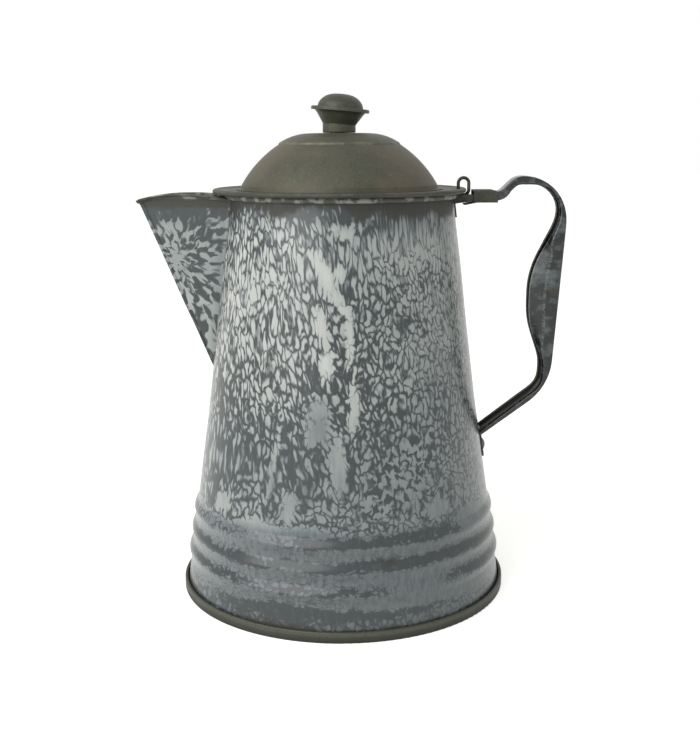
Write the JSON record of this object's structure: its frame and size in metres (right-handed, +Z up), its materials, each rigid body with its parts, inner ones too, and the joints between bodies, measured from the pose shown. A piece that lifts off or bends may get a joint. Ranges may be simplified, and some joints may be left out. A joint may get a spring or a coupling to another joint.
{
  "type": "enamel coffee pot",
  "caption": "Tapered steel coffee pot in spotted enamel, with a wired lip spout, a folded strip handle and a domed tin lid on a wire loop hinge.",
  "frame": {"origin": "centre of the foot on the table, on the pot's axis", "axes": "+Z up, -X towards the spout, +X towards the handle"},
  "size_m": [0.2051, 0.16, 0.2394],
  "materials": {
    "enamel": "glossy grey spotted enamel",
    "handle_enamel": "glossy dark grey enamel with pale bands",
    "seam": "worn dark sheet steel",
    "wire": "dark tarnished wire",
    "tin": "dull aged tinned sheet",
    "solder": "dark soldered tin",
    "rivet": "dull rivet steel"
  },
  "bodies": {
    "pot": {"body_shell": "enamel", "rim_wire": "wire", "bottom_pan": "seam", "spout": "enamel", "spout_wire": "wire", "handle": "handle_enamel", "handle_rivet": "rivet", "rivet_burr": "rivet", "handle_socket": "tin", "hinge_bracket": "solder", "hinge_link": "wire"},
    "lid": {"lid_flange": "tin", "lid_edge_wire": "wire", "lid_collar": "tin", "lid_dome": "tin", "knob_spool": "tin", "knob_cap": "tin", "knob_rivet": "rivet", "knob_washer": "rivet"}
  },
  "joints": [
    {"name": "lid_hinge", "type": "hinge", "parent": "pot", "child": "lid", "pos_m": [0.05825, 0, 0.19462], "axis": [0, 1, 0], "range_deg": [0, 120]}
  ]
}
